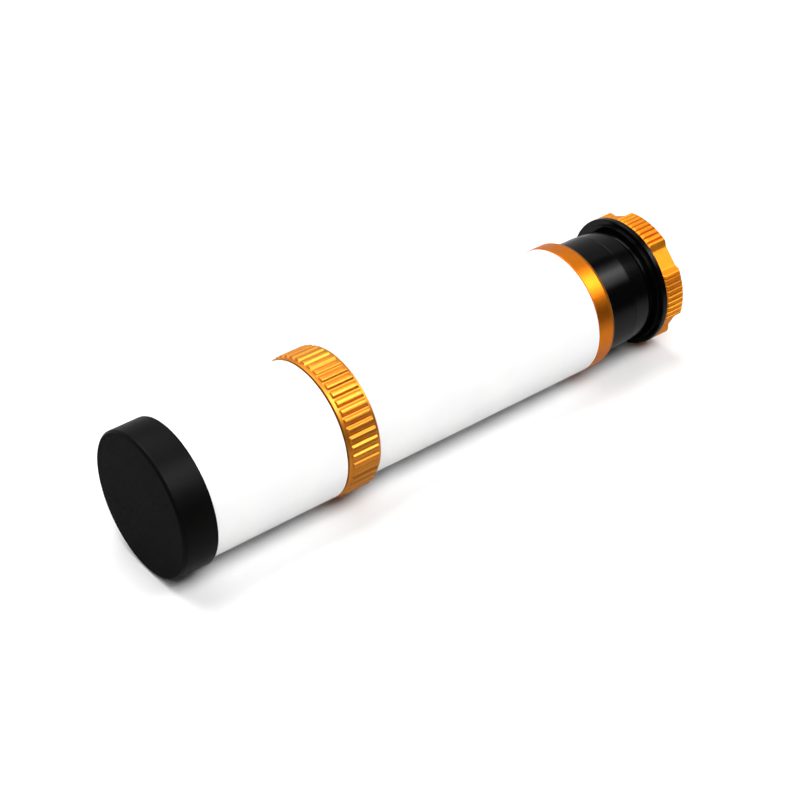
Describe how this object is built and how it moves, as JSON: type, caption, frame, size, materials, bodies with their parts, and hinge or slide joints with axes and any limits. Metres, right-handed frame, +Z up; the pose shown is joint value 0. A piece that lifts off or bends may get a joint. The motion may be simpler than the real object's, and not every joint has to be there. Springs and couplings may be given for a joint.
{
  "type": "guide scope",
  "caption": "Small white guide scope: capped dew shield that screws out to focus, ribbed gold lock ring, gold end ring, and a lobed gold twist-lock holder for 1.25-inch eyepieces.",
  "frame": {"origin": "under the middle of the scope, on the plane that the lying scope's dust cap touches", "axes": "+X along the optical axis towards the eyepiece, +Z up, optical axis 33.3 mm above the origin"},
  "size_m": [0.2782, 0.0666, 0.0666],
  "materials": {
    "white_paint": "smooth semi-gloss white paint",
    "gold_anodised": "satin orange-gold anodised, fine turned",
    "black_anodised": "satin black anodised, fine turned",
    "cap_plastic": "matte moulded black plastic",
    "optical_glass": "polished, green-violet coated",
    "brass": "turned brass",
    "nylon": "plain natural nylon",
    "bare_metal": "thin bright foil"
  },
  "bodies": {
    "tube": {"main_tube": "white_paint", "focus_sleeve": "black_anodised", "front_baffle": "black_anodised", "rear_baffle": "black_anodised", "rear_end_ring": "gold_anodised", "rear_barrel": "black_anodised", "extension_ring": "black_anodised", "eyepiece_holder": "black_anodised"},
    "lens_group": {"crown_element": "optical_glass", "lens_spacer": "bare_metal", "flint_element": "optical_glass"},
    "front_section": {"dew_shield": "white_paint", "objective_cell": "black_anodised", "lens_retaining_ring": "black_anodised", "lens_cushion": "nylon"},
    "cap": {"dust_cap": "cap_plastic"},
    "lock_ring": {"focus_lock_ring": "gold_anodised"},
    "collet_group": {"collet": "brass", "thrust_washer": "nylon"},
    "clamp": {"clamp_ring": "gold_anodised"}
  },
  "joints": [
    {"name": "focus_turn", "type": "hinge", "parent": "lens_group", "child": "front_section", "pos_m": [-0.06908, 0, 0.0333], "axis": [-1, 0, 0], "range_deg": [0, 2700]},
    {"name": "focus_travel", "type": "slide", "parent": "tube", "child": "lens_group", "axis": [-1, 0, 0], "range_m": [0, 0.00751]},
    {"name": "cap_pull", "type": "slide", "parent": "front_section", "child": "cap", "axis": [-1, 0, 0], "range_m": [0, 0.03]},
    {"name": "lock_turn", "type": "hinge", "parent": "tube", "child": "lock_ring", "pos_m": [-0.04768, 0, 0.0333], "axis": [-1, 0, 0], "range_deg": [0, 120]},
    {"name": "clamp_turn", "type": "hinge", "parent": "collet_group", "child": "clamp", "pos_m": [0.13392, 0, 0.0333], "axis": [1, 0, 0], "range_deg": [0, 120]},
    {"name": "collet_travel", "type": "slide", "parent": "tube", "child": "collet_group", "axis": [1, 0, 0], "range_m": [0, 0.00051]}
  ],
  "couplings": [
    {"joint": "focus_travel", "follows": "focus_turn", "m_per_rad": 0.00015915},
    {"joint": "collet_travel", "follows": "clamp_turn", "m_per_rad": 0.00023873}
  ]
}
